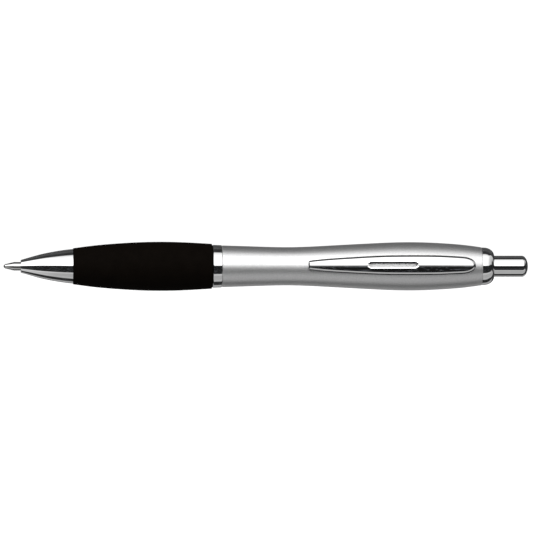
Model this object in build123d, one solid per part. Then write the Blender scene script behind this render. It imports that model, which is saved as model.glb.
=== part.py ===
from build123d import *
import os
from math import atan, cos, degrees, radians, sin

# Retractable ballpoint pen, in millimetres and degrees.
# The pen lies along X: the front of its writing ball is the origin and the push button is towards +X.
# It is shown with the point out. The clip faces -Y and is turned CLIP_ROLL above level.
# Outlines are (x, radius) pairs about the pen's axis, which is the X axis.

# ---- Driving dimensions ----
LENGTH = 141.5  # front of the ball to the end of the button
CLIP_ROLL = 2.5  # how far the clip is turned up from -Y about the pen's axis

# Where the outer pieces meet along the pen
NOSE_FRONT = 4.6
GRIP_FRONT = 18.65
GRIP_REAR = 56.12
RING_REAR = 58.68
BARREL_REAR = 128.9
COLLAR_REAR = 132.25

# Outer skins
NOSE_SKIN = [(NOSE_FRONT, 1.7), (7.1, 2.45), (10.4, 3.34), (13.6, 3.98), (16.9, 4.48), (GRIP_FRONT, 4.66)]
GRIP_FRONT_R = 4.86
GRIP_SKIN = [(22.8, 5.42), (30.9, 6.17), (41.5, 6.6), (50.4, 6.38)]
GRIP_END_R = 6.08
GRIP_CORNER = 0.35
RING_FRONT_R = 5.78
RING_REAR_R = 5.7
BARREL_SKIN = [
    (RING_REAR, 5.62),
    (66.0, 5.4),
    (77.5, 5.16),
    (88.0, 5.6),
    (99.0, 6.18),
    (109.0, 6.51),
    (118.4, 6.22),
    (124.9, 5.68),
    (BARREL_REAR, 5.13),
]
COLLAR_R = 5.06
COLLAR_SHOULDER = 129.4  # where the collar starts to round over
COLLAR_LIP_R = 3.1
BUTTON_R = 2.85
BUTTON_DOME = 1.6  # length over which the button's end rounds over

# Bores and inner tubes
POINT_HOLE_R = 1.25
SPRING_SEAT = 10.5
SPRING_BORE_R = 2.35
NOSE_SPIGOT_R = 3.65
NOSE_SPIGOT_REAR = 24.4
CORE_R = 4.2
CORE_BORE_R = 3.2
CORE_REAR = 66.0
BUSH_R = 4.7
BARREL_BORE_R = 4.4
WALL_GAP = 0.02  # between pieces that are pressed or screwed together

# Refill
BALL_R = 0.5
BALL_PLAY = 0.015
POINT_RIM = 0.35  # the ball stands this far out of its socket
POINT_RIM_R = 0.56
POINT_CONE_REAR = 2.8
POINT_R = 1.15
POINT_REAR = 14.5
SHANK_R = 0.95
SHANK_REAR = 18.0
HOLDER_R = 1.45
HOLDER_FLANGE_R = 2.1
FLANGE_FRONT = 24.6
FLANGE_REAR = 25.8
HOLDER_REAR = 30.0
TUBE_R = 1.5
TUBE_BORE_R = 1.05
TUBE_REAR = 107.0
INK_REAR = 84.0
FOLLOWER_REAR = 87.5
FEED_R = 0.3

# Return spring
SPRING_WIRE = 0.36
SPRING_MEAN_R = 1.86
SPRING_TURNS = 9.5

# Click mechanism: three ribs, so that each full travel turns the cam by a sixth of a turn
RIBS = 3
POINT_TRAVEL = 5.6  # how far the refill goes back
BUTTON_TRAVEL = 4.6  # how far the button comes back with it
TURN = 60.0
RIB_HALF = 27.0
RIB_EMBED = 0.3  # how far a rib reaches into its wall
RIB_STOCK = 4.0  # how far a rib runs past its bevel before the bevel is cut
GUIDE_R = 4.36
GUIDE_FRONT = 104.0
GUIDE_REAR = 127.9
GUIDE_BORE_R = 3.45
GUIDE_RIB_BORE_R = 2.55
GUIDE_RIB_REAR = 125.2
BEVEL_X = 114.6  # middle of the bevels where cam and guide face each other
BEVEL_GAP = 0.08
BEVEL_REACH = 4.2  # half the length of the space that is cut away at a bevel
BEVEL_SECTOR = 80.0  # angle of that space
BEVEL_CUT_R = (6.0, 1.2)  # its outer and inner radii
CAM_FRONT = TUBE_REAR + 0.1
CAM_RIB_FRONT = CAM_FRONT + 1.2
CAM_CORE_R = 2.0
CAM_RIB_R = 3.3
CAM_SPIGOT_R = 0.95
CAM_SPIGOT_FRONT = 103.0
CROWN_REAR = 117.6
CROWN_PLAY = POINT_TRAVEL - BUTTON_TRAVEL + 0.08  # closes as the button comes back
CROWN_SLOPE = 0.42
CROWN_DEPTH = 1.2
CROWN_R = 1.95
CROWN_BORE_R = 0.5
CROWN_PHASE = 1.5  # the cam's crown hangs back by this much, so that its teeth never rub
PLUNGER_RIB_HALF = 9.0
PLUNGER_RIB_FRONT = 119.0
PLUNGER_RIB_REAR = 126.3
PLUNGER_STEM_R = 2.1
PLUNGER_REAR = 138.5
BUTTON_FRONT = 126.7
BUTTON_BORE_R = 2.15
COLLAR_SPIGOT_FRONT = 128.0
COLLAR_STOP = 131.2
COLLAR_HOLE_R = 2.92

# Clip: its plan along X as half widths, and its side profile as distances from the pen's axis
CLIP_FRONT = 81.75
CLIP_REAR = 126.9
CLIP_PLAN = [(93.0, 2.17), (101.0, 2.57), (110.0, 2.68), (118.0, 2.58), (122.5, 2.36), (124.9, 2.05), (126.3, 1.3)]
CLIP_FRONT_HALF = 1.25
CLIP_FRONT_CORNER = 0.35
CLIP_TOP = [(CLIP_FRONT, 6.95), (86.0, 6.75), (95.0, 7.35), (109.0, 8.3), (119.0, 8.0), (CLIP_REAR, 6.88)]
CLIP_THICK = 1.0
CLIP_CROWN_R = 12.0  # crown of the clip across its width
CLIP_CROWN_HALF = 25.0  # angle that covers the clip's width from the crown's centre line
CLIP_SLOT_FRONT = 97.9
CLIP_SLOT_REAR = 111.0
CLIP_SLOT_WIDTH = 1.24
CLIP_SLOT_POINT = 0.55  # how far the slot's ends taper
CLIP_ROOT_FRONT = 117.5
CLIP_ROOT_GAP = 0.08  # the root stands just clear of the barrel
HOOK_X = 121.5  # middle of the hook that passes through the barrel's wall
HOOK_LENGTH = 2.4
HOOK_WIDTH = 2.6
HOOK_FLOOR = 3.75
HOOK_PLAY = 0.2
TOE_LENGTH = 0.6
TOE_TOP = 4.03
CLIP_PAD_X = 85.2
CLIP_PAD_HALF = 1.1
CLIP_PAD_TOP = 6.5
CLIP_ROOT_TOP = 7.1
HOOK_TOP = 7.0
FAR = 20.0  # beyond everything on the clip's side of the pen


# ---- Helpers ----
def turned(outline):
    """A solid of revolution about the pen's axis from a closed (x, radius) outline."""
    return revolve(make_face(Polyline(*outline, close=True)), Axis.X)


def turned_skin(skin, inside):
    """A solid of revolution whose outer line is a smooth curve, closed by straight lines through inside."""
    return revolve(make_face(Spline(*skin) + Polyline(skin[-1], *inside, skin[0])), Axis.X)


def tube(front, rear, outer, inner=0.0):
    """A plain tube, or a rod where inner is zero."""
    return turned([(front, inner), (rear, inner), (rear, outer), (front, outer)])


def fan(front, start, stop, outer, inner):
    """A flat sector across the pen. Angles run from -Y towards -Z, the way a turn about +X goes."""
    angles = [radians(start + (stop - start) * i / 4) for i in range(5)]
    rim = [(outer * cos(a), outer * sin(a)) for a in angles]
    rim += [(inner * cos(a), inner * sin(a)) for a in angles[::-1]]
    across = Plane((front, 0, 0), x_dir=(0, -1, 0), z_dir=(1, 0, 0))
    return across * make_face(Polyline(*rim, close=True))


def wedge(front, rear, middle, half, outer, inner):
    """A length of tube cut down to a sector, by a prism that stands clear of it inside and out."""
    sector = fan(front, middle - half, middle + half, 1.3 * outer, 0.9 * inner)
    return extrude(sector, rear - front, dir=(1, 0, 0)) & tube(front - 1, rear + 1, outer, inner)


def bevel_cutter(x_middle, side):
    """The space on one side of the helical surface that the cam slides along, near x_middle.

    The surface turns by TURN while it advances by POINT_TRAVEL. Side is +1 or -1, the way round
    that the space lies from it.
    """
    front = x_middle - BEVEL_REACH
    twist = TURN * BEVEL_REACH / POINT_TRAVEL
    edges = sorted((-twist, -twist + BEVEL_SECTOR * side))
    section = fan(front, *edges, *BEVEL_CUT_R).face()
    return Solid.extrude_linear_with_rotation(section, (front, 0, 0), (2 * BEVEL_REACH, 0, 0), 2 * twist)


def crown_teeth(x_middle, facing, phase):
    """Saw teeth on the end of a rod: facing +1 for teeth that point to +X, -1 for their counterpart."""
    pitch = 180 / RIBS
    slope = degrees(atan(CROWN_SLOPE))
    half_space = Rot(Y=-slope) * Pos(-2 * facing, 0, 0) * Box(4, 8, 8)
    ends = sorted((-CROWN_DEPTH * facing, CROWN_DEPTH * facing / 2))
    tooth = wedge(*ends, 0, pitch / 2, CROWN_R, CROWN_BORE_R) & half_space
    return [Pos(x_middle, 0, 0) * Rot(X=phase + pitch * (i + 0.5)) * tooth for i in range(2 * RIBS)]


# ---- Barrel and grip ----
def nose_cone():
    """Chromed cone: a close hole for the point, a seat for the spring and a spigot for the grip core."""
    inside = [
        (GRIP_FRONT, NOSE_SPIGOT_R),
        (NOSE_SPIGOT_REAR, NOSE_SPIGOT_R),
        (NOSE_SPIGOT_REAR, SPRING_BORE_R),
        (SPRING_SEAT, SPRING_BORE_R),
        (SPRING_SEAT, POINT_HOLE_R),
        (NOSE_FRONT, POINT_HOLE_R),
    ]
    return turned_skin(NOSE_SKIN, inside)


def grip_core():
    """Plastic tube under the rubber. Its rear end screws into the bush in the upper barrel."""
    front = GRIP_FRONT + WALL_GAP
    step = NOSE_SPIGOT_REAR + 0.1
    socket = NOSE_SPIGOT_R + WALL_GAP
    outline = [(front, socket), (front, CORE_R), (CORE_REAR, CORE_R), (CORE_REAR, CORE_BORE_R)]
    return turned(outline + [(step, CORE_BORE_R), (step, socket)])


def rubber_grip():
    """Soft sleeve, fattest a little ahead of its middle, with a rounded rear corner."""
    bore = CORE_R + WALL_GAP
    front = GRIP_FRONT + WALL_GAP
    corner_x = GRIP_REAR - GRIP_CORNER
    corner_r = GRIP_END_R - GRIP_CORNER
    skin = Spline((front, GRIP_FRONT_R), *GRIP_SKIN, (corner_x, GRIP_END_R))
    corner = ThreePointArc(
        (corner_x, GRIP_END_R),
        (corner_x + GRIP_CORNER * sin(radians(45)), corner_r + GRIP_CORNER * cos(radians(45))),
        (GRIP_REAR, corner_r),
    )
    back = Polyline((GRIP_REAR, corner_r), (GRIP_REAR, bore), (front, bore), (front, GRIP_FRONT_R))
    return revolve(make_face(skin + corner + back), Axis.X)


def centre_ring():
    """Chromed ring between the grip and the upper barrel."""
    front = GRIP_REAR + WALL_GAP
    rear = RING_REAR - WALL_GAP
    bore = CORE_R + WALL_GAP
    return turned([(front, bore), (front, RING_FRONT_R), (rear, RING_REAR_R), (rear, bore)])


def thread_bush():
    """Brass bush in the front of the upper barrel, which takes the grip core's thread."""
    return tube(RING_REAR + 0.1, CORE_REAR + 1.2, BUSH_R, CORE_R + WALL_GAP)


def hook_room(floor):
    """Room for the clip's hook and toe, from floor above the pen's axis outwards."""
    length = HOOK_LENGTH + TOE_LENGTH + 2 * HOOK_PLAY
    return Pos(HOOK_X - TOE_LENGTH / 2, -floor - FAR / 2, 0) * Box(length, FAR, HOOK_WIDTH + 2 * HOOK_PLAY)


def upper_barrel():
    """Waisted silver barrel with a window through its wall for the clip's hook."""
    counterbore = BUSH_R + WALL_GAP
    step = CORE_REAR + 1.3
    inside = [(BARREL_REAR, BARREL_BORE_R), (step, BARREL_BORE_R), (step, counterbore), (RING_REAR, counterbore)]
    return turned_skin(BARREL_SKIN, inside) - hook_room(BARREL_BORE_R - 1)


def end_collar():
    """Chromed collar that closes the barrel, stops the plunger and guides the button."""
    spigot_r = BARREL_BORE_R - WALL_GAP
    front = BARREL_REAR + WALL_GAP
    cavity_r = GUIDE_BORE_R + 0.1
    bend = radians(45)
    shoulder = Spline(
        (COLLAR_SHOULDER, COLLAR_R),
        (
            COLLAR_SHOULDER + (COLLAR_REAR - COLLAR_SHOULDER) * sin(bend),
            COLLAR_LIP_R + (COLLAR_R - COLLAR_LIP_R) * cos(bend),
        ),
        (COLLAR_REAR, COLLAR_LIP_R),
        tangents=[(1, 0), (0, -1)],
    )
    rest = Polyline(
        (COLLAR_REAR, COLLAR_LIP_R),
        (COLLAR_REAR, COLLAR_HOLE_R),
        (COLLAR_STOP, COLLAR_HOLE_R),
        (COLLAR_STOP, cavity_r),
        (COLLAR_SPIGOT_FRONT, cavity_r),
        (COLLAR_SPIGOT_FRONT, spigot_r),
        (front, spigot_r),
        (front, COLLAR_R),
        (COLLAR_SHOULDER, COLLAR_R),
    )
    return revolve(make_face(shoulder + rest), Axis.X)


# ---- Clip ----
def clip_plan():
    """The clip's leaf shape, extruded through everything on the clip's side of the pen."""
    corner = CLIP_FRONT_CORNER
    flank = [(CLIP_FRONT + corner, CLIP_FRONT_HALF), *CLIP_PLAN, (CLIP_REAR, 0)]
    half = Spline(*flank, tangents=[(1, 0.14), (0, -1)])
    nose = Polyline((CLIP_REAR, 0), (CLIP_FRONT, 0), (CLIP_FRONT, CLIP_FRONT_HALF - corner))
    bend = RadiusArc((CLIP_FRONT, CLIP_FRONT_HALF - corner), flank[0], corner)
    leaf = make_face(half + nose + bend)
    facing = Plane((0, 0, 0), x_dir=(1, 0, 0), z_dir=(0, -1, 0))
    return extrude(facing * (leaf + mirror(leaf, Plane.XZ)), FAR, dir=(0, -1, 0))


def clip():
    """Crowned strip with a slot through it, a pad that bears on the barrel, and a hooked root."""
    crown_y = CLIP_CROWN_R - max(r for _, r in CLIP_TOP)
    top = [(x, -r) for x, r in CLIP_TOP]
    bottom = [(x, CLIP_THICK - r) for x, r in CLIP_TOP]
    side = Spline(*top) + Line(top[-1], bottom[-1]) + Spline(*bottom[::-1]) + Line(bottom[0], top[0])
    plan = clip_plan()
    lean = Pos(0, crown_y, 0) * Rot(X=-CLIP_CROWN_HALF) * Pos(0, -crown_y, 0)
    crown_axis = Axis((0, crown_y, 0), (1, 0, 0))
    strip = revolve(lean * make_face(side), crown_axis, 2 * CLIP_CROWN_HALF) & plan
    middle = (CLIP_SLOT_FRONT + CLIP_SLOT_REAR) / 2
    reach = (CLIP_SLOT_REAR - CLIP_SLOT_FRONT) / 2
    wide = CLIP_SLOT_WIDTH / 2
    quarter = [(reach - CLIP_SLOT_POINT, wide), (reach, wide * 0.35)]
    right = quarter + [(x, -z) for x, z in quarter[::-1]]
    slot_line = [*right, *[(-x, z) for x, z in right[::-1]]]
    through = Plane((middle, 0, 0), x_dir=(1, 0, 0), z_dir=(0, -1, 0))
    slot = extrude(through * make_face(Polyline(*slot_line, close=True)), FAR, dir=(0, -1, 0))
    barrel_room = turned_skin([(x, r + CLIP_ROOT_GAP) for x, r in BARREL_SKIN], [(BARREL_REAR, 0), (RING_REAR, 0)])
    root_length = CLIP_REAR - CLIP_ROOT_FRONT
    root = Pos(CLIP_ROOT_FRONT + root_length / 2, -CLIP_ROOT_TOP / 2, 0) * Box(root_length, CLIP_ROOT_TOP, FAR)
    pad = Pos(CLIP_PAD_X, -CLIP_PAD_TOP / 2, 0) * Box(2 * CLIP_PAD_HALF, CLIP_PAD_TOP, 2 * CLIP_PAD_HALF)
    hook = Pos(HOOK_X, -(HOOK_TOP + HOOK_FLOOR) / 2, 0) * Box(HOOK_LENGTH, HOOK_TOP - HOOK_FLOOR, HOOK_WIDTH)
    toe_x = HOOK_X - (HOOK_LENGTH + TOE_LENGTH) / 2
    toe = Pos(toe_x, -(TOE_TOP + HOOK_FLOOR) / 2, 0) * Box(TOE_LENGTH, TOE_TOP - HOOK_FLOOR, HOOK_WIDTH)
    return (strip - slot) + (((root & plan) + pad) - barrel_room) + hook + toe


# ---- Click mechanism ----
def cam_guide():
    """Plastic sleeve with ribs inside. Their bevelled front ends turn the cam and hold it forward."""
    sleeve = tube(GUIDE_FRONT, GUIDE_REAR, GUIDE_R, GUIDE_BORE_R)
    rib_r = GUIDE_BORE_R + RIB_EMBED
    rib = wedge(BEVEL_X - RIB_STOCK, GUIDE_RIB_REAR, 0, RIB_HALF, rib_r, GUIDE_RIB_BORE_R)
    rib = rib - bevel_cutter(BEVEL_X, 1)
    for i in range(RIBS):
        sleeve = sleeve + Rot(X=360 / RIBS * i) * rib
    return sleeve - hook_room(HOOK_FLOOR - HOOK_PLAY / 2)


def cam_rotor():
    """Rotating cam: ribs that ride on the guide, a crown towards the plunger, a spigot in the refill."""
    rotor = tube(CAM_FRONT, CROWN_REAR - 1, CAM_CORE_R) + tube(CAM_SPIGOT_FRONT, CAM_FRONT, CAM_SPIGOT_R)
    rib = wedge(CAM_RIB_FRONT, BEVEL_X + RIB_STOCK, 0, RIB_HALF, CAM_RIB_R, CAM_CORE_R - RIB_EMBED)
    rib = rib - bevel_cutter(BEVEL_X - BEVEL_GAP, -1)
    for i in range(RIBS):
        rotor = rotor + Rot(X=360 / RIBS * i) * rib
    for tooth in crown_teeth(CROWN_REAR, 1, -CROWN_PHASE):
        rotor = rotor + tooth
    return rotor


def button_plunger():
    """Plastic stem with the matching crown, and ribs that keep it from turning or coming out."""
    front = CROWN_REAR + CROWN_PLAY
    stem = tube(front + 1, PLUNGER_REAR, PLUNGER_STEM_R)
    for tooth in crown_teeth(front, -1, 0):
        stem = stem + tooth
    rib = wedge(PLUNGER_RIB_FRONT, PLUNGER_RIB_REAR, TURN, PLUNGER_RIB_HALF, CAM_RIB_R, PLUNGER_STEM_R - RIB_EMBED)
    for i in range(RIBS):
        stem = stem + Rot(X=360 / RIBS * i) * rib
    return stem


def push_button():
    """Chromed cap over the plunger's stem, with a domed end."""
    dome_x = LENGTH - BUTTON_DOME
    bend = radians(45)
    dome = Spline(
        (dome_x, BUTTON_R),
        (dome_x + BUTTON_DOME * sin(bend), BUTTON_R * cos(bend)),
        (LENGTH, 0),
        tangents=[(1, 0), (0, -1)],
    )
    rest = Polyline(
        (LENGTH, 0),
        (PLUNGER_REAR + 0.1, 0),
        (PLUNGER_REAR + 0.1, BUTTON_BORE_R),
        (BUTTON_FRONT, BUTTON_BORE_R),
        (BUTTON_FRONT, BUTTON_R),
        (dome_x, BUTTON_R),
    )
    return revolve(make_face(dome + rest), Axis.X)


# ---- Refill ----
def tip_ball():
    """Tungsten writing ball."""
    return Pos(BALL_R, 0, 0) * Sphere(BALL_R)


def refill_tip():
    """Metal point: a cone with the ball's socket, a straight body and a shank in the holder."""
    body = turned(
        [
            (POINT_RIM, 0),
            (POINT_RIM, POINT_RIM_R),
            (POINT_CONE_REAR, POINT_R),
            (POINT_REAR, POINT_R),
            (POINT_REAR, SHANK_R),
            (SHANK_REAR, SHANK_R),
            (SHANK_REAR, 0),
        ]
    )
    socket = Pos(BALL_R, 0, 0) * Sphere(BALL_R + BALL_PLAY)
    return body - socket - tube(BALL_R, SHANK_REAR + 1, FEED_R + WALL_GAP)


def tip_holder():
    """Plastic holder between the point and the tube. Its flange is the spring's rear seat."""
    front = POINT_REAR + WALL_GAP
    shank_room = SHANK_REAR + 0.1
    feed = FEED_R + WALL_GAP
    return turned(
        [
            (front, SHANK_R + WALL_GAP),
            (front, HOLDER_R),
            (FLANGE_FRONT, HOLDER_R),
            (FLANGE_FRONT, HOLDER_FLANGE_R),
            (FLANGE_REAR, HOLDER_FLANGE_R),
            (FLANGE_REAR, TUBE_BORE_R - WALL_GAP),
            (HOLDER_REAR, TUBE_BORE_R - WALL_GAP),
            (HOLDER_REAR, feed),
            (shank_room, feed),
            (shank_room, SHANK_R + WALL_GAP),
        ]
    )


def refill_tube():
    """Plastic ink tube."""
    return tube(FLANGE_REAR + WALL_GAP, TUBE_REAR, TUBE_R, TUBE_BORE_R)


def ink_column():
    """The ink, from the ball's socket through the feed to the follower."""
    feed = tube(BALL_R + BALL_R + 0.1, HOLDER_REAR + 0.1, FEED_R)
    return feed + tube(HOLDER_REAR + WALL_GAP, INK_REAR, TUBE_BORE_R - WALL_GAP)


def ink_follower():
    """Plug of clear grease that keeps the ink from running out of the tube's rear end."""
    return tube(INK_REAR + WALL_GAP, FOLLOWER_REAR, TUBE_BORE_R - WALL_GAP)


def return_spring():
    """Steel spring between the nose cone's seat and the holder's flange."""
    front = SPRING_SEAT + SPRING_WIRE / 2 + WALL_GAP
    length = FLANGE_FRONT - SPRING_SEAT - SPRING_WIRE - 2 * WALL_GAP
    path = Helix(length / SPRING_TURNS, length, SPRING_MEAN_R, center=(front, 0, 0), direction=(1, 0, 0))
    return sweep((path ^ 0) * Circle(SPRING_WIRE / 2), path=path)


# ---- Write one file for each piece ----
PIECES = [
    nose_cone,
    grip_core,
    rubber_grip,
    centre_ring,
    thread_bush,
    upper_barrel,
    end_collar,
    clip,
    cam_guide,
    cam_rotor,
    button_plunger,
    push_button,
    tip_ball,
    refill_tip,
    tip_holder,
    refill_tube,
    ink_column,
    ink_follower,
    return_spring,
]

os.makedirs("parts", exist_ok=True)
for make in PIECES:
    piece = Rot(X=-CLIP_ROLL) * make()
    piece.label = make.__name__
    export_step(piece, f"parts/{make.__name__}.step")
    print(make.__name__, round(piece.volume, 3), piece.is_valid)
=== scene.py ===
import math

import bmesh
import bpy
import numpy as np
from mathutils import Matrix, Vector


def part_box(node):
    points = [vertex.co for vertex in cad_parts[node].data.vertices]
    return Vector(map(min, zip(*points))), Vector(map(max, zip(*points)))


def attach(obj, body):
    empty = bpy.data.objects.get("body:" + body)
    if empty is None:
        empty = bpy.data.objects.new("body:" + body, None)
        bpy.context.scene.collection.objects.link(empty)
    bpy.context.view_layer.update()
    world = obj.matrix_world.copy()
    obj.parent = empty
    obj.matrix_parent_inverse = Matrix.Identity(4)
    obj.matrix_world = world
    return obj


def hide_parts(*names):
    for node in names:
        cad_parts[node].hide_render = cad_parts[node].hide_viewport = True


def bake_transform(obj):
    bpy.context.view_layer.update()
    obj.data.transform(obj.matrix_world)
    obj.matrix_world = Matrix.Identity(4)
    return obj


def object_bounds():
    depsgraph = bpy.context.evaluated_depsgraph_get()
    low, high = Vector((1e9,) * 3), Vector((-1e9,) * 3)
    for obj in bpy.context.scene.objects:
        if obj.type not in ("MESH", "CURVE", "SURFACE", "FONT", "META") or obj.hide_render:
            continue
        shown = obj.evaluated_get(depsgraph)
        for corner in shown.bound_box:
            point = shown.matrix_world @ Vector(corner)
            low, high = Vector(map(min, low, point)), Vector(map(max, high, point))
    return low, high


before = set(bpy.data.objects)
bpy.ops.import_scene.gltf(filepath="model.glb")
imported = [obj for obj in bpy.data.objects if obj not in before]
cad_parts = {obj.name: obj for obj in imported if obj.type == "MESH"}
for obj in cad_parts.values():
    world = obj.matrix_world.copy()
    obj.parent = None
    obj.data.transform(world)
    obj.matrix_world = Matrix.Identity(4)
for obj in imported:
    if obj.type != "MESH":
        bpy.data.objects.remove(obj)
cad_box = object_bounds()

# Retractable ballpoint pen, lying along X with its clip facing -Y.
# Outlines are in millimetres as (x, radius) about the pen's axis, and meshes are made in metres.

MM = 0.001
CLIP_ROLL = math.radians(2.5)  # the clip is turned this far up from -Y
AROUND = 160  # faces round each turned piece


# ---- Curves and outlines ----
def spline(points, start=None, end=None):
    """A smooth curve through points, as a function of the share of its length.

    Start and end are the directions that it has there, or None where it is free.
    """
    p = np.array(points, float)
    chord = np.hypot(*np.diff(p, axis=0).T)
    s = np.concatenate([[0], np.cumsum(chord)])
    n = len(s)
    a = np.zeros((n, n))
    b = np.zeros((n, 2))
    slope = np.diff(p, axis=0) / chord[:, None]
    for i in range(1, n - 1):
        a[i, i - 1 : i + 2] = chord[i - 1], 2 * (chord[i - 1] + chord[i]), chord[i]
        b[i] = 6 * (slope[i] - slope[i - 1])
    for row, near, direction, sign in ((0, 1, start, 1), (n - 1, n - 2, end, -1)):
        if direction is None:
            a[row, row] = 1
            continue
        span = chord[0] if row == 0 else chord[-1]
        own_slope = slope[0] if row == 0 else slope[-1]
        a[row, row], a[row, near] = 2 * span, span
        b[row] = sign * 6 * (own_slope - np.array(direction) / np.hypot(*direction))
    bend = np.linalg.solve(a, b)

    def at(share):
        q = np.atleast_1d(share) * s[-1]
        k = np.clip(np.searchsorted(s, q, side="right") - 1, 0, n - 2)
        h, t = chord[k][:, None], (q - s[k])[:, None]
        m0, m1, p0 = bend[k], bend[k + 1], p[k]
        return p0 + t * (slope[k] - h * (2 * m0 + m1) / 6) + t**2 * m0 / 2 + t**3 * (m1 - m0) / (6 * h)

    return at


def skin(points, step=0.4, **directions):
    """Points along a smooth curve, about step apart."""
    at = spline(points, **directions)
    length = np.hypot(*np.diff(np.array(points, float), axis=0).T).sum()
    return [tuple(q) for q in at(np.linspace(0, 1, max(4, int(length / step))))]


def rounded(outline, arc_steps=6):
    """Replaces each (x, r, radius) corner of a closed outline with an arc of that radius."""
    out = []
    for i, point in enumerate(outline):
        if len(point) == 2:
            out.append(tuple(point))
            continue
        corner = np.array(point[:2], float)
        before = np.array(outline[i - 1][:2], float) - corner
        after = np.array(outline[(i + 1) % len(outline)][:2], float) - corner
        before, after = before / np.hypot(*before), after / np.hypot(*after)
        half = math.acos(np.clip(before @ after, -1, 1)) / 2
        back = point[2] / math.tan(half)
        middle = corner + (before + after) / np.hypot(*(before + after)) * point[2] / math.sin(half)
        first, last = corner + before * back - middle, corner + after * back - middle
        turn = math.pi - 2 * half
        for t in np.linspace(0, 1, arc_steps + 1):
            spoke = (math.sin((1 - t) * turn) * first + math.sin(t * turn) * last) / math.sin(turn)
            out.append(tuple(middle + spoke))
    return out


# ---- Meshes ----
def link(name, bm, crease=35):
    """A smooth-shaded object from a bmesh in millimetres. Edges sharper than crease degrees stay sharp."""
    bmesh.ops.remove_doubles(bm, verts=bm.verts, dist=1e-4)
    bmesh.ops.dissolve_degenerate(bm, edges=bm.edges, dist=1e-5)
    bmesh.ops.recalc_face_normals(bm, faces=bm.faces)
    for vert in bm.verts:
        vert.co *= MM
    mesh = bpy.data.meshes.new(name)
    bm.to_mesh(mesh)
    bm.free()
    mesh.shade_smooth()
    mesh.set_sharp_from_angle(angle=math.radians(crease))
    piece = bpy.data.objects.new(name, mesh)
    bpy.context.scene.collection.objects.link(piece)
    weigh = piece.modifiers.new("even_normals", "WEIGHTED_NORMAL")
    weigh.keep_sharp = True
    return piece


def turned(name, outline):
    """A closed solid of revolution about the pen's axis from a closed outline."""
    bm = bmesh.new()
    angles = np.linspace(0, 2 * math.pi, AROUND, endpoint=False)
    rings = []
    for x, r in rounded(outline):
        if r < 1e-6:
            rings.append([bm.verts.new((x, 0, 0))])
        else:
            rings.append([bm.verts.new((x, r * math.cos(a), r * math.sin(a))) for a in angles])
    for one, two in zip(rings, rings[1:] + rings[:1]):
        if len(one) == len(two) == 1:
            continue
        for i in range(AROUND):
            j = (i + 1) % AROUND
            corners = [one[i % len(one)], one[j % len(one)], two[j % len(two)], two[i % len(two)]]
            bm.faces.new(list(dict.fromkeys(corners)))
    return link(name, bm)


def clip_place(x, across, out):
    """A point given by its place along the pen, across the clip and out from the pen's axis."""
    c, s = math.cos(CLIP_ROLL), math.sin(CLIP_ROLL)
    return Vector((x, -out * c + across * s, out * s + across * c))


def block(name, low, high):
    """A box in the clip's own directions: along the pen, across the clip, out from the pen's axis."""
    bm = bmesh.new()
    bmesh.ops.create_cube(bm, size=1)
    for vert in bm.verts:
        at = [l + (v + 0.5) * (h - l) for v, l, h in zip(vert.co, low, high)]
        vert.co = clip_place(*at)
    return link(name, bm)


def fit(piece, body, material, slot, *nodes):
    """Gives a piece its body and its finish, and hides the CAD nodes that it stands for."""
    piece.data.materials.clear()
    piece.data.materials.append(material)
    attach(piece, body)
    if nodes:
        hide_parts(*nodes)
    return piece


def ends(node):
    """Where a CAD node starts and stops along the pen, in millimetres."""
    low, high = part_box(node)
    return low.x / MM, high.x / MM


# ---- Materials ----
NOISE_LOW, NOISE_HIGH = 0.3, 0.7  # most of a noise's values lie between these
SMEAR_TO_MOTTLE = 2.3  # how much finer the changes of roughness are than those of tone


def grey(level):
    return level, level, level


def nodes_of(name):
    material = bpy.data.materials.new(name)
    material.use_nodes = True
    tree = material.node_tree
    shader = tree.nodes["Principled BSDF"]
    place = tree.nodes.new("ShaderNodeTexCoord")
    return material, tree, shader, place.outputs["Object"]


def noise(tree, place, per_mm, stretch=(1, 1, 1), detail=2.0):
    """Noise with about per_mm features to a millimetre. Stretch lengthens them along X, Y and Z."""
    mapping = tree.nodes.new("ShaderNodeMapping")
    mapping.inputs["Scale"].default_value = [1 / s for s in stretch]
    texture = tree.nodes.new("ShaderNodeTexNoise")
    texture.inputs["Scale"].default_value = per_mm / MM
    texture.inputs["Detail"].default_value = detail
    tree.links.new(place, mapping.inputs["Vector"])
    tree.links.new(mapping.outputs["Vector"], texture.inputs["Vector"])
    return texture.outputs["Fac"]


def between(tree, factor, low, high):
    """Maps a noise to values from low to high."""
    node = tree.nodes.new("ShaderNodeMapRange")
    node.inputs["From Min"].default_value = NOISE_LOW
    node.inputs["From Max"].default_value = NOISE_HIGH
    node.inputs["To Min"].default_value = low
    node.inputs["To Max"].default_value = high
    tree.links.new(factor, node.inputs["Value"])
    return node.outputs["Result"]


def tones(tree, factor, dark, light):
    """Maps a noise to colours from dark to light."""
    node = tree.nodes.new("ShaderNodeValToRGB")
    first, last = node.color_ramp.elements
    first.position, last.position = NOISE_LOW, NOISE_HIGH
    first.color, last.color = (*dark, 1), (*light, 1)
    tree.links.new(factor, node.inputs["Fac"])
    return node.outputs["Color"]


def grain(tree, shader, height, depth_mm, below):
    """Surface relief of depth_mm from a height between 0 and 1, on top of any relief below it."""
    node = tree.nodes.new("ShaderNodeBump")
    node.inputs["Strength"].default_value = 1.0
    node.inputs["Distance"].default_value = depth_mm * MM
    tree.links.new(height, node.inputs["Height"])
    if below is not None:
        tree.links.new(below, node.inputs["Normal"])
    tree.links.new(node.outputs["Normal"], shader.inputs["Normal"])
    return node.outputs["Normal"]


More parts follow.
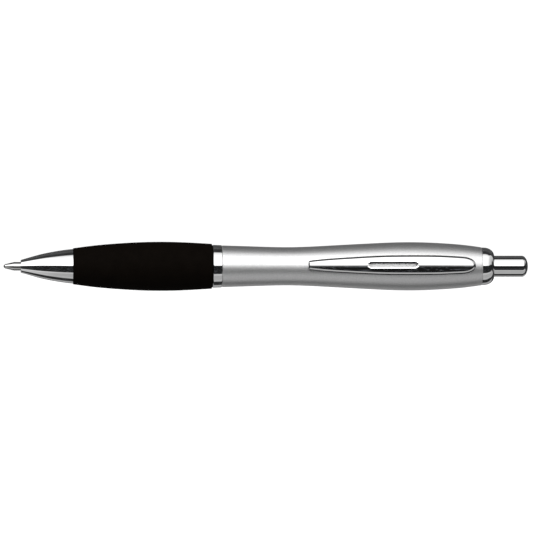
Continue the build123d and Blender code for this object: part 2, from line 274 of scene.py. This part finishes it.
def surface(
    name, dark, light, rough, metal=0.0, specular=0.5, mottle=0.4, relief=None, wave=None, lines=None
):
    """A procedural material of two tones and a roughness range.

    Mottle is how many blotches of tone there are to a millimetre. Relief (fine pits), wave (slow waves) and
    lines (turning marks) are each (features to a millimetre, depth in millimetres).
    """
    material, tree, shader, place = nodes_of(name)
    shader.inputs["Metallic"].default_value = metal
    shader.inputs["Specular IOR Level"].default_value = specular
    blotches = noise(tree, place, mottle, detail=4)
    tree.links.new(tones(tree, blotches, dark, light), shader.inputs["Base Color"])
    smear = noise(tree, place, mottle * SMEAR_TO_MOTTLE, stretch=(3, 1, 1), detail=5)
    tree.links.new(between(tree, smear, *rough), shader.inputs["Roughness"])
    below = None
    if wave:
        below = grain(tree, shader, noise(tree, place, wave[0], detail=1), wave[1], below)
    if lines:
        turning = noise(tree, place, lines[0], stretch=(1, 40, 40), detail=3)
        below = grain(tree, shader, turning, lines[1], below)
    if relief:
        grain(tree, shader, noise(tree, place, relief[0], detail=3), relief[1], below)
    return material


# Metals
chrome = surface("chrome", grey(0.79), grey(0.83), (0.03, 0.05), metal=1.0, wave=(0.25, 0.0004))
satin = surface(
    "satin_silver", grey(0.75), grey(0.83), (0.42, 0.46), metal=1.0, mottle=2.2, relief=(6, 0.0016)
)
brass = surface("bush_brass", (0.7, 0.53, 0.26), (0.78, 0.62, 0.34), (0.2, 0.3), metal=1.0, lines=(8, 0.002))
point_metal = surface("point_metal", (0.54, 0.54, 0.53), (0.6, 0.6, 0.59), (0.03, 0.05), metal=1.0)
hard_metal = surface(
    "hard_metal", (0.04, 0.04, 0.045), (0.07, 0.07, 0.075), (0.08, 0.14), metal=1.0, relief=(12, 0.0003)
)
wire = surface(
    "spring_steel", (0.55, 0.55, 0.56), (0.64, 0.64, 0.65), (0.18, 0.28), metal=1.0, relief=(8, 0.001)
)

# Rubber and plastics
rubber = surface(
    "black_rubber",
    (0.0034, 0.0024, 0.0017),
    (0.0045, 0.0032, 0.0023),
    (0.72, 0.8),
    specular=0.02,
    relief=(6, 0.006),
)
black_plastic = surface("black_plastic", grey(0.02), grey(0.03), (0.35, 0.45), relief=(4, 0.002))
white_plastic = surface(
    "white_plastic", (0.8, 0.8, 0.77), (0.86, 0.86, 0.83), (0.35, 0.45), relief=(3, 0.002)
)
tube_plastic = surface(
    "tube_plastic", (0.76, 0.78, 0.8), (0.82, 0.84, 0.86), (0.12, 0.2), relief=(2, 0.001)
)
tube_plastic.node_tree.nodes["Principled BSDF"].inputs["Transmission Weight"].default_value = 0.55

# In the refill
ink = surface("ink", (0.004, 0.004, 0.02), (0.008, 0.008, 0.035), (0.05, 0.1))
grease = surface("grease", (0.74, 0.68, 0.45), (0.8, 0.75, 0.55), (0.1, 0.2))

CARRIED_OVER = {
    "grip_core": black_plastic,
    "thread_bush": brass,
    "cam_guide": white_plastic,
    "cam_rotor": white_plastic,
    "button_plunger": white_plastic,
    "tip_holder": white_plastic,
    "refill_tube": tube_plastic,
    "ink_column": ink,
    "ink_follower": grease,
}
for node, material in CARRIED_OVER.items():
    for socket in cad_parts[node].material_slots:
        socket.material = material

# ---- Nose cone ----
nose_front, spigot_rear = ends("nose_cone")
NOSE_REAR, NOSE_REAR_R = 18.65, 4.66
MOUTH_R, MOUTH_BORE_R = 1.7, 1.25
SPIGOT_R = 3.65
SPRING_SEAT, SPRING_BORE_R = 10.5, 2.35
NOSE_SKIN = [
    (nose_front, MOUTH_R),
    (7.1, 2.45),
    (10.4, 3.34),
    (13.6, 3.98),
    (16.9, 4.48),
    (NOSE_REAR, NOSE_REAR_R),
]
nose_outline = [
    (nose_front, MOUTH_BORE_R, 0.08),
    (nose_front, MOUTH_R, 0.14),
    *skin(NOSE_SKIN)[1:-1],
    (NOSE_REAR, NOSE_REAR_R, 0.06),
    (NOSE_REAR, SPIGOT_R),
    (spigot_rear, SPIGOT_R, 0.15),
    (spigot_rear, SPRING_BORE_R, 0.15),
    (SPRING_SEAT, SPRING_BORE_R),
    (SPRING_SEAT, MOUTH_BORE_R),
]
fit(turned("nose_cone_shell", nose_outline), "barrel", chrome, "chrome", "nose_cone")

# ---- Writing point and its ball ----
BALL_R = 0.5
SOCKET_R, SOCKET_FRONT, SOCKET_REAR = 0.51, 0.35, 0.9
POINT_R, POINT_CONE_REAR = 1.15, 2.8
SHANK_R, SHANK_FRONT, SHANK_REAR = 0.95, 14.5, 18.0
FEED_R, FEED_FRONT = 0.3, 1.2
point_outline = [
    (SOCKET_FRONT, SOCKET_R),
    (SOCKET_FRONT, 0.56, 0.02),
    (POINT_CONE_REAR, POINT_R, 0.3),
    (SHANK_FRONT, POINT_R, 0.1),
    (SHANK_FRONT, SHANK_R),
    (SHANK_REAR, SHANK_R, 0.1),
    (SHANK_REAR, FEED_R),
    (FEED_FRONT, FEED_R),
    (SOCKET_REAR, SOCKET_R),
]
fit(turned("writing_point", point_outline), "refill", point_metal, "point_metal", "refill_tip")

half_turn = np.linspace(0, math.pi, 33)
ball_line = [(BALL_R - BALL_R * math.cos(a), BALL_R * math.sin(a)) for a in half_turn]
ball_line[0], ball_line[-1] = (0.0, 0.0), (2 * BALL_R, 0.0)
fit(turned("writing_ball", ball_line), "ball", hard_metal, "hard_metal", "tip_ball")

# ---- Grip ----
grip_front, grip_rear = ends("rubber_grip")
GRIP_BORE_R = 4.22
GRIP_FRONT_R, GRIP_REAR_R, GRIP_REAR_ROUND = 4.86, 6.05, 0.33
GRIP_SKIN = [
    (grip_front, GRIP_FRONT_R),
    (22.8, 5.42),
    (30.9, 6.17),
    (41.5, 6.597),
    (50.4, 6.38),
    (grip_rear - 0.4, 6.07),
]
grip_outline = [
    (grip_front, GRIP_FRONT_R, 0.12),
    *skin(GRIP_SKIN)[1:-1],
    (grip_rear, GRIP_REAR_R, GRIP_REAR_ROUND),
    (grip_rear, GRIP_BORE_R),
    (grip_front, GRIP_BORE_R),
]
fit(turned("grip_sleeve", grip_outline), "barrel", rubber, "black_rubber", "rubber_grip")

# ---- Centre ring ----
ring_front, ring_rear = ends("centre_ring")
RING_FRONT_R, RING_R, RING_REAR_R, RING_BEVEL = 5.62, 5.775, 5.7, 0.26
ring_outline = [
    (ring_front, GRIP_BORE_R),
    (ring_front, RING_FRONT_R),
    (ring_front + RING_BEVEL, RING_R, 0.2),
    (ring_rear, RING_REAR_R, 0.1),
    (ring_rear, GRIP_BORE_R),
]
fit(turned("trim_ring", ring_outline), "barrel", chrome, "chrome", "centre_ring")

# ---- Upper barrel ----
barrel_front, barrel_rear = ends("upper_barrel")
BARREL_FRONT_R, BARREL_REAR_R, BARREL_BORE_R = 5.62, 5.13, 4.4
BUSH_R, BUSH_REAR = 4.72, 67.3  # the socket for the thread bush
BARREL_SKIN = [
    (barrel_front, BARREL_FRONT_R),
    (66.0, 5.4),
    (77.5, 5.16),
    (88.0, 5.6),
    (99.0, 6.18),
    (109.0, 6.51),
    (118.4, 6.22),
    (124.9, 5.68),
    (barrel_rear, BARREL_REAR_R),
]
barrel_line = skin(BARREL_SKIN)
barrel_outline = [
    (barrel_front, BUSH_R),
    (barrel_front, BARREL_FRONT_R, 0.25),
    *barrel_line[2:-1],
    (barrel_rear, BARREL_REAR_R, 0.12),
    (barrel_rear, BARREL_BORE_R),
    (BUSH_REAR, BARREL_BORE_R),
    (BUSH_REAR, BUSH_R),
]
# The hole for the clip's hook
WINDOW_FRONT, WINDOW_REAR, WINDOW_HALF = 119.5, 122.9, 1.5
WINDOW_IN, WINDOW_OUT = 3.4, 7.4


def cut_window(piece):
    window = block(
        "window", (WINDOW_FRONT, -WINDOW_HALF, WINDOW_IN), (WINDOW_REAR, WINDOW_HALF, WINDOW_OUT)
    )
    cut = piece.modifiers.new("window", "BOOLEAN")
    cut.operation = "DIFFERENCE"
    cut.object = window
    cut.solver = "EXACT"
    piece.modifiers.move(1, 0)
    bpy.context.view_layer.update()
    shape = bpy.data.meshes.new_from_object(piece.evaluated_get(bpy.context.evaluated_depsgraph_get()))
    piece.modifiers.clear()
    piece.data = shape
    bpy.data.objects.remove(window)


barrel = turned("barrel_tube", barrel_outline)
cut_window(barrel)
fit(barrel, "barrel", satin, "satin_silver", "upper_barrel")

# ---- End collar ----
collar_front, collar_rear = ends("end_collar")
COLLAR_EDGE, SHOULDER = 128.92, 129.4
COLLAR_R, LIP_R, BUTTON_HOLE_R = 5.06, 3.1, 2.92
COLLAR_BORE_R, SLEEVE_R, LIP_FRONT = 3.55, 4.38, 131.2
EIGHTH = math.pi / 4
shoulder_middle = (
    SHOULDER + (collar_rear - SHOULDER) * math.sin(EIGHTH),
    LIP_R + (COLLAR_R - LIP_R) * math.cos(EIGHTH),
)
shoulder = skin(
    [(SHOULDER, COLLAR_R), shoulder_middle, (collar_rear, LIP_R)], step=0.1, start=(1, 0), end=(0, -1)
)
collar_outline = [
    (COLLAR_EDGE, COLLAR_R, 0.06),
    *shoulder,
    (collar_rear, BUTTON_HOLE_R, 0.06),
    (LIP_FRONT, BUTTON_HOLE_R),
    (LIP_FRONT, COLLAR_BORE_R),
    (collar_front, COLLAR_BORE_R),
    (collar_front, SLEEVE_R),
    (COLLAR_EDGE, SLEEVE_R),
]
fit(turned("rear_collar", collar_outline), "barrel", chrome, "chrome", "end_collar")

# ---- Push button ----
button_front, button_rear = ends("push_button")
BUTTON_R, BUTTON_DOME = 2.85, 1.6
BUTTON_BORE_R, BUTTON_BORE_REAR = 2.15, 138.6
round_over = np.linspace(0, math.pi / 2, 25)
dome = [(button_rear - BUTTON_DOME * (1 - math.sin(a)), BUTTON_R * math.cos(a)) for a in round_over]
button_outline = [
    (button_front, BUTTON_BORE_R),
    (button_front, BUTTON_R, 0.1),
    *dome[:-1],
    (button_rear, 0),
    (BUTTON_BORE_REAR, 0),
    (BUTTON_BORE_REAR, BUTTON_BORE_R),
]
fit(turned("button_cap", button_outline), "button", chrome, "chrome", "push_button")

# ---- Clip ----
clip_front, clip_rear = ends("clip")
FRONT_HALF, FRONT_CORNER = 1.25, 0.35
flank = skin(
    [
        (clip_front + FRONT_CORNER, FRONT_HALF),
        (93.0, 2.17),
        (101.0, 2.57),
        (110.0, 2.68),
        (118.0, 2.58),
        (122.5, 2.36),
        (124.9, 2.05),
        (126.3, 1.3),
        (clip_rear, 0),
    ],
    step=0.05,
    start=(1, 0.14),
    end=(0, -1),
)
nose_corner = [
    (
        clip_front + FRONT_CORNER * (1 - math.cos(a)),
        FRONT_HALF - FRONT_CORNER * (1 - math.sin(a)),
    )
    for a in np.linspace(0, math.pi / 2, 13)
]
half_plan = np.array([(clip_front, 0), *nose_corner, *flank[1:]])
clip_plan = np.vstack([half_plan, half_plan[-2:0:-1] * (1, -1)])
# The same, but run on past its front end, so that only the flanks and the rear end are near
run_on = np.array([(clip_front - 2, FRONT_HALF), *flank])
flank_plan = np.vstack([run_on, run_on[-2::-1] * (1, -1)])

CLIP_TOP = [
    (clip_front, 6.95),
    (86.0, 6.75),
    (95.0, 7.35),
    (109.0, 8.285),
    (119.0, 7.99),
    (clip_rear, 6.87),
]
clip_top = np.array(skin(CLIP_TOP, step=0.1))
barrel_surface = np.array(barrel_line)

SLOT = (97.9, 111.0)
SLOT_HALF, SLOT_END_HALF, SLOT_TAPER = 0.62, 0.217, 0.55
slot_side = [
    (SLOT[0], SLOT_END_HALF),
    (SLOT[0] + SLOT_TAPER, SLOT_HALF),
    (SLOT[1] - SLOT_TAPER, SLOT_HALF),
    (SLOT[1], SLOT_END_HALF),
]
slot_plan = np.array([(x, side * half) for side in (1, -1) for x, half in slot_side[::side]])

# Rounded edges, as (how far in from the edge they start, drop per square of the way out from there)
CLIP_EDGE, SLOT_EDGE, UNDER_EDGE = (0.78, 0.95), (0.4, 0.4), (0.15, 5.0)
FRONT_BEVEL = 0.38  # 45 degrees
CROWN_OFFSET = 3.7  # the crown's axis is this far behind the pen's axis
CLIP_THICK = 1.0
ROOT_FRONT, ROOT_GAP = 117.5, 0.08
PAD_X, PAD_HALF, PAD_EDGE = 85.2, 1.1, 0.3

# Where the grid's rows lie: from the front end, about the slot's corners, at the root and near the rear end
FRONT_STEPS = np.array([0, 0.01, 0.03, 0.07, 0.12, 0.19, 0.27, 0.36, 0.46, 0.57, 0.7])
SLOT_STEPS = np.array([-0.4, -0.32, -0.24, -0.16, -0.08, 0, 0.04, 0.1, 0.17])
ROOT_STEPS = np.array([0, 0.02])
REAR_STRETCH, REAR_ROWS = 3.0, 40
ROW_STEP, LEAST_STEP = 0.15, 0.06
# Where its columns lie on each rail: in from the slot and in from the edge, with even ones between
FROM_SLOT = np.array([0, 0.05, 0.1, 0.16, 0.22, 0.28, 0.34, 0.4])
FROM_EDGE = np.array([0.72, 0.6, 0.48, 0.37, 0.27, 0.18, 0.11, 0.055, 0.02, 0])
FULL_RAIL = 1.1  # a rail narrower than this has these steps scaled down
RAIL_COLUMNS, MIDDLE_COLUMNS = 6, 5
MOST_MIDDLE = 0.45  # the most of the clip's width that lies between the rails


def gap_to(line, points):
    """Each point's distance to a closed line of points."""
    a, b = line, np.roll(line, -1, axis=0)
    along = b - a
    rel = points[:, None, :] - a[None]
    share = np.clip((rel * along).sum(2) / np.maximum((along**2).sum(1), 1e-12), 0, 1)
    return np.sqrt(((rel - share[..., None] * along) ** 2).sum(2)).min(1)


def roll_off(gap, reach, curve):
    """How far a rounded edge has dropped, at a gap from the edge."""
    return curve * np.clip(reach - gap, 0, reach) ** 2


def smooth_step(value, start, end):
    t = np.clip((value - start) / (end - start), 0, 1)
    return t * t * (3 - 2 * t)


def clip_heights(points):
    """The clip's top and underside above the pen's axis, at (along, across) points."""
    x, across = points.T
    peak = np.interp(x, *clip_top.T)
    crown = peak + CROWN_OFFSET
    flanks = roll_off(gap_to(flank_plan, points), *CLIP_EDGE)
    bevel = np.clip(clip_front + FRONT_BEVEL - x, 0, None)
    slot = roll_off(gap_to(slot_plan, points), *SLOT_EDGE)
    top = np.sqrt(crown**2 - across**2) - CROWN_OFFSET - np.maximum(flanks, bevel) - slot
    lower_edge = roll_off(gap_to(clip_plan, points), *UNDER_EDGE)
    under = np.sqrt((crown - CLIP_THICK) ** 2 - across**2) - CROWN_OFFSET + lower_edge
    seat = np.sqrt((np.interp(x, *barrel_surface.T) + ROOT_GAP) ** 2 - across**2)
    reach = np.maximum(np.abs(x - PAD_X), np.abs(across))
    pad = 1 - smooth_step(reach, PAD_HALF - PAD_EDGE, PAD_HALF)
    root = x > ROOT_FRONT
    return top, np.where(root, seat, under + (seat - under) * pad)


def clip_rows():
    """Places along the clip, closer together where its edges turn."""
    close = [clip_front + FRONT_STEPS, ROOT_FRONT + ROOT_STEPS]
    for place, _ in slot_side:
        close.append(place + SLOT_STEPS)
    close.append(clip_rear - REAR_STRETCH * (1 - np.cos(np.linspace(0, math.pi / 2, REAR_ROWS))))
    close = np.unique(np.concatenate(close).round(5))
    even = np.arange(clip_front, clip_rear - REAR_STRETCH, ROW_STEP)
    even = [x for x in even if np.abs(close - x).min() > LEAST_STEP]
    return np.sort(np.concatenate([close, even]))


def clip_columns(x):
    """Places across the clip at x, from one edge to the other: a rail, the middle and a rail."""
    half = np.interp(x, *half_plan[1:].T) if x > clip_front else nose_corner[0][1]
    ramp = (SLOT_HALF - SLOT_END_HALF) / SLOT_TAPER
    inner = SLOT_END_HALF + ramp * max(0, min(SLOT_TAPER, x - SLOT[0], SLOT[1] - x))
    inner = min(inner, MOST_MIDDLE * half)
    width = half - inner
    scale = min(1, width / FULL_RAIL)
    from_slot = scale * FROM_SLOT
    from_edge = scale * FROM_EDGE
    centre = np.linspace(inner + from_slot[-1], half - from_edge[0], RAIL_COLUMNS + 2)[1:-1]
    rail = np.concatenate([inner + from_slot, centre, half - from_edge])
    middle = np.linspace(-inner, inner, MIDDLE_COLUMNS + 2)[1:-1]
    return np.concatenate([-rail[::-1], middle, rail])


def clip_strip():
    """The clip without its hook, as a closed mesh on a grid whose lines follow the plan and the slot."""
    rows = clip_rows()
    columns = [clip_columns(x) for x in rows]
    count = len(columns[0])
    rail = (count - MIDDLE_COLUMNS) // 2
    points = np.array([(x, across) for x, places in zip(rows, columns) for across in places])
    bm = bmesh.new()
    grids = []
    for heights in clip_heights(points):
        verts = [bm.verts.new(clip_place(x, across, h)) for (x, across), h in zip(points, heights)]
        grids.append([verts[i * count : (i + 1) * count] for i in range(len(rows))])
    upper, lower = grids

    def wall(first, second):
        """A face from the top to the underside, along the grid line from first to second."""
        (i, j), (k, m) = first, second
        bm.faces.new((upper[i][j], upper[k][m], lower[k][m], lower[i][j]))

    def in_slot(i):
        return SLOT[0] - 1e-6 < rows[i] and rows[i + 1] < SLOT[1] + 1e-6

    last = len(rows) - 1
    for i in range(last):
        hole = in_slot(i)
        for j in range(count - 1):
            if hole and rail - 1 <= j <= count - rail - 1:
                continue
            for grid in grids:
                bm.faces.new((grid[i][j], grid[i + 1][j], grid[i + 1][j + 1], grid[i][j + 1]))
        for j in (0, count - 1):
            wall((i, j), (i + 1, j))
        if hole:
            for j in (rail - 1, count - rail):
                wall((i, j), (i + 1, j))
        if 0 < i and hole != in_slot(i - 1):
            for j in range(rail - 1, count - rail):
                wall((i, j), (i, j + 1))
    for j in range(count - 1):
        wall((0, j), (0, j + 1))
    return link("clip_strip", bm, crease=25)


fit(clip_strip(), "clip", chrome, "chrome", "clip")

# ---- The clip's hook, through the barrel's window ----
HOOK_HALF = 1.3
HOOK_FRONT, HOOK_REAR, TOE_FRONT = 120.3, 122.7, 119.7
HOOK_FOOT, TOE_TOP, HOOK_TOP = 3.75, 4.03, 6.9
hook = block("clip_hook", (HOOK_FRONT, -HOOK_HALF, HOOK_FOOT), (HOOK_REAR, HOOK_HALF, HOOK_TOP))
fit(hook, "clip", chrome, "chrome")
toe = block("clip_hook_toe", (TOE_FRONT, -HOOK_HALF, HOOK_FOOT), (HOOK_FRONT, HOOK_HALF, TOE_TOP))
fit(toe, "clip", chrome, "chrome")

# ---- Return spring ----
WIRE_R, COIL_R, TURNS = 0.18, 1.86, 9.5
CLOSED_PITCH = 0.37
STEPS_PER_TURN, WIRE_SIDES = 64, 14


def coil():
    """The spring's wire: a closed turn at both ends and open ones between."""
    front, rear = ends("return_spring")
    turn = np.linspace(0, TURNS, int(TURNS * STEPS_PER_TURN) + 1)
    open_pitch = (rear - front - 2 * WIRE_R - 2 * CLOSED_PITCH) / (TURNS - 2)
    opened = CLOSED_PITCH + open_pitch * (np.minimum(turn, TURNS - 1) - 1)
    advance = np.where(turn < 1, CLOSED_PITCH * turn, opened)
    advance += CLOSED_PITCH * np.maximum(0, turn - (TURNS - 1))
    angle = 2 * math.pi * turn
    line = np.stack([front + WIRE_R + advance, COIL_R * np.cos(angle), COIL_R * np.sin(angle)], axis=1)
    tangent = np.gradient(line, axis=0)
    tangent /= np.linalg.norm(tangent, axis=1)[:, None]
    out = np.stack([np.zeros_like(angle), np.cos(angle), np.sin(angle)], axis=1)
    third = np.cross(tangent, out)
    spokes = np.linspace(0, 2 * math.pi, WIRE_SIDES, endpoint=False)
    bm = bmesh.new()
    rings = []
    for p, o, t in zip(line, out, third):
        rings.append([bm.verts.new(p + WIRE_R * (math.cos(a) * o + math.sin(a) * t)) for a in spokes])
    for one, two in zip(rings, rings[1:]):
        for i in range(WIRE_SIDES):
            j = (i + 1) % WIRE_SIDES
            bm.faces.new((one[i], one[j], two[j], two[i]))
    bm.faces.new(rings[0])
    bm.faces.new(rings[-1])
    return link("spring_wire", bm)


spring = coil()
spring.data.materials.append(wire)
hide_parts("return_spring")
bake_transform(spring)

# ---- Studio light ----
# Levels are what the chrome gives back, so that 1 is white in the picture.
WHITE = 2.55  # radiance of the soft light
MIRROR = 0.82  # share of it that the chrome gives back
FULL = WHITE * MIRROR
# Light round the pen's axis, as (degrees from -Y up towards +Z, level)
BANDS = [
    (-180, 0.08),
    (-166, 0.1),
    (-148, 0.27),
    (-130, 0.34),
    (-126, 0.3),
    (-121, 0.02),
    (-97, 0.012),
    (-94, 0.03),
    (-90, 0.36),
    (-84, 0.43),
    (-76, 0.36),
    (-58, 0.35),
    (-52, 0.4),
    (-47, 0.58),
    (-45, 0.45),
    (-41.2, 0.012),
    (-1, 0.008),
    (3, 0.12),
    (8, FULL),
    (26, FULL),
    (48, 1.6),
    (57, 1.1),
    (70, 0.9),
    (77, 0.8),
    (83, 0.06),
    (88, 0.02),
    (104, 0.03),
    (114, 0.075),
    (126, 0.05),
    (150, 0.075),
    (180, 0.1),
]
# Directions along the pen run from -1, towards its point, to 1, towards its button.
# How much of the light is left, as (direction along the pen, share left)
DIMMING = [
    (-1.0, 0.03),
    (-0.935, 0.05),
    (-0.88, 0.9),
    (-0.75, 1.6),
    (-0.55, 1.6),
    (-0.22, 1.0),
    (1.0, 1.0),
]
# The most light there is, as (direction along the pen, level)
CEILING = [
    (-1.0, FULL),
    (0.12, FULL),
    (0.3, 1.3),
    (0.42, 1.12),
    (0.5, 0.98),
    (0.6, 0.78),
    (0.72, 0.56),
    (0.86, 0.54),
    (0.93, 0.3),
    (0.96, 0.03),
    (1.0, 0.01),
]
# It is dark behind the pen past its button, as (direction that way, share of the full light)
BEHIND = [(0.8, 1.0), (0.88, 0.012)]
# Towards the button the bands open out by this share and turn up by this angle, between these directions
OPENING_SHARE, OPENING_TURN, OPENING_REACH = 0.34, math.radians(10), (0.5, 0.95)
# Towards the point the dark band before the pen widens and the one below it turns forwards,
# as (degrees from -Y up towards +Z, degrees of turn), between these directions
SWING = [(-180, 0), (-120, -5), (-89, -8), (-70, 0), (-50, 6), (-10, 0), (12, -6), (50, 0), (180, 0)]
SWING_MOST, SWING_REACH = 10, (0.15, 0.5)
# Dim small things in the room, as (noise, what they add)
FLECKS = [(0.55, (0, 0, 0)), (0.7, (0.042, 0.045, 0.05))]
FLECK_SCALE, FLECK_DETAIL = 24.0, 4.0


class Shading:
    """Makes and joins the nodes of a shader tree."""

    def __init__(self, tree):
        self.tree = tree

    def join(self, value, socket):
        """Sets a socket to a number, or links it to an output."""
        if isinstance(value, (int, float)):
            socket.default_value = value
        else:
            self.tree.links.new(value, socket)

    def calc(self, operation, *values):
        node = self.tree.nodes.new("ShaderNodeMath")
        node.operation = operation
        for socket, value in zip(node.inputs, values):
            self.join(value, socket)
        return node.outputs[0]

    def ease(self, value, start, end):
        """Goes smoothly from 0 to 1 as a value goes from start to end."""
        node = self.tree.nodes.new("ShaderNodeMapRange")
        node.interpolation_type = "SMOOTHSTEP"
        node.inputs["From Min"].default_value = start
        node.inputs["From Max"].default_value = end
        self.join(value, node.inputs["Value"])
        return node.outputs["Result"]

    def ramp(self, label, factor, stops):
        """A colour ramp with (place, grey level or colour) stops."""
        node = self.tree.nodes.new("ShaderNodeValToRGB")
        node.label = label
        elements = node.color_ramp.elements
        elements.remove(elements[1])
        for i, (place, level) in enumerate(stops):
            stop = elements[0] if i == 0 else elements.new(place)
            stop.position = place
            stop.color = (*(level if isinstance(level, tuple) else grey(level)), 1)
        self.join(factor, node.inputs["Fac"])
        return node.outputs["Color"]

    def mix(self, mode, one, two):
        node = self.tree.nodes.new("ShaderNodeMix")
        node.data_type = "RGBA"
        node.blend_type = mode
        node.inputs["Factor"].default_value = 1.0
        self.join(one, node.inputs["A"])
        self.join(two, node.inputs["B"])
        return node.outputs["Result"]


def band_place(shading, x, y, z):
    """Where a direction falls on the ramp of bands: 0 to 1 for -180 to 180 degrees round the pen's axis."""
    angle = shading.calc("ARCTAN2", z, shading.calc("MULTIPLY", y, -1))
    near_button = shading.ease(x, *OPENING_REACH)
    opening = shading.calc("MULTIPLY_ADD", near_button, -OPENING_SHARE, 1.0)
    turning = shading.calc("MULTIPLY", near_button, OPENING_TURN)
    angle = shading.calc("SUBTRACT", shading.calc("MULTIPLY", angle, opening), turning)
    place = shading.calc("MULTIPLY_ADD", angle, 1 / (2 * math.pi), 0.5)
    near_point = shading.ease(shading.calc("MULTIPLY", x, -1), *SWING_REACH)
    # A ramp holds values from 0 to 1, so the swing is stored about 0.5
    stops = [((a + 180) / 360, 0.5 + turn / (2 * SWING_MOST)) for a, turn in SWING]
    swing = shading.calc("SUBTRACT", shading.ramp("swing", place, stops), 0.5)
    swing = shading.calc("MULTIPLY", swing, 2 * SWING_MOST / 360)
    return shading.calc("MULTIPLY_ADD", swing, near_point, place)


def studio_light():
    world = bpy.data.worlds.new("studio")
    bpy.context.scene.world = world
    world.use_nodes = True
    tree = world.node_tree
    tree.nodes.clear()
    shading = Shading(tree)
    direction = tree.nodes.new("ShaderNodeTexCoord").outputs["Generated"]
    split = tree.nodes.new("ShaderNodeSeparateXYZ")
    tree.links.new(direction, split.inputs[0])
    x, y, z = split.outputs

    round_axis = band_place(shading, x, y, z)
    bands = shading.ramp("bands", round_axis, [((a + 180) / 360, level / FULL) for a, level in BANDS])
    along = shading.calc("MULTIPLY_ADD", x, 0.5, 0.5)
    # The shares reach past 1, so the ramp holds half of them
    halved = shading.ramp("dimming", along, [((a + 1) / 2, share / 2) for a, share in DIMMING])
    dimming = shading.calc("MULTIPLY", halved, 2.0)
    ceiling = shading.ramp("ceiling", along, [((a + 1) / 2, level / FULL) for a, level in CEILING])
    backwards = shading.calc("MULTIPLY", shading.calc("ADD", x, y), math.sqrt(0.5))
    ceiling = shading.mix("DARKEN", ceiling, shading.ramp("behind", backwards, BEHIND))
    light = shading.mix("DARKEN", shading.mix("MULTIPLY", bands, dimming), ceiling)

    clutter = tree.nodes.new("ShaderNodeTexNoise")
    clutter.inputs["Scale"].default_value = FLECK_SCALE
    clutter.inputs["Detail"].default_value = FLECK_DETAIL
    tree.links.new(direction, clutter.inputs["Vector"])
    flecks = shading.ramp("flecks", clutter.outputs["Fac"], FLECKS)

    background = tree.nodes.new("ShaderNodeBackground")
    background.inputs["Strength"].default_value = WHITE
    tree.links.new(shading.mix("ADD", light, flecks), background.inputs["Color"])
    out = tree.nodes.new("ShaderNodeOutputWorld")
    tree.links.new(background.outputs[0], out.inputs["Surface"])


studio_light()

# ---- Stage: a white floor, and a white surround beyond it ----
FLOOR_R, SURROUND_R = 3.5, 3.4  # metres
PAPER_GLOW, SURROUND_GLOW = 0.85, 1.05


def glow(name, colour, strength):
    """A stage material: white paper that glows a little, so that it stays pale."""
    material = bpy.data.materials.new(name)
    material.use_nodes = True
    shader = material.node_tree.nodes["Principled BSDF"]
    shader.inputs["Base Color"].default_value = (*colour, 1)
    shader.inputs["Roughness"].default_value = 0.9
    shader.inputs["Specular IOR Level"].default_value = 0.0
    shader.inputs["Emission Color"].default_value = (1, 1, 1, 1)
    shader.inputs["Emission Strength"].default_value = strength
    return material


def only_seen(stage_piece):
    """The stage is seen by the camera, and neither lights nor shades the pen."""
    stage_piece.visible_diffuse = False
    stage_piece.visible_glossy = False
    stage_piece.visible_transmission = False
    stage_piece.visible_shadow = False


def stage_mesh(name, bm, material):
    mesh = bpy.data.meshes.new(name)
    bm.to_mesh(mesh)
    bm.free()
    mesh.materials.append(material)
    piece = bpy.data.objects.new(name, mesh)
    bpy.context.scene.collection.objects.link(piece)
    only_seen(piece)
    return piece


low, high = cad_box
middle_x = (low.x + high.x) / 2
disc = bmesh.new()
bmesh.ops.create_circle(disc, cap_ends=True, segments=96, radius=FLOOR_R)
floor = stage_mesh("floor", disc, glow("paper", grey(0.5), PAPER_GLOW))
floor.location = (middle_x, 0, low.z)
shell = bmesh.new()
bmesh.ops.create_icosphere(shell, subdivisions=5, radius=SURROUND_R)
surround = stage_mesh("surround", shell, glow("surround", grey(0), SURROUND_GLOW))
surround.location = (middle_x, 0, 0)

# ---- Camera ----
AZIMUTH = math.radians(-3.3)
VIEW_WIDTH = 143.65 * MM
VIEW_CENTRE = Vector((0.0708, 0, -0.000054))
LENS, SENSOR = 400.0, 36.0
camera_data = bpy.data.cameras.new("camera")
camera_data.lens = LENS
camera_data.sensor_width = SENSOR
camera_data.clip_end = 50
camera = bpy.data.objects.new("camera", camera_data)
bpy.context.scene.collection.objects.link(camera)
back = Vector((math.sin(AZIMUTH), -math.cos(AZIMUTH), 0))
camera.location = VIEW_CENTRE + back * (VIEW_WIDTH * LENS / SENSOR)
camera.rotation_euler = (math.pi / 2, 0, AZIMUTH)
bpy.context.scene.camera = camera
bpy.context.scene.view_settings.view_transform = "Standard"
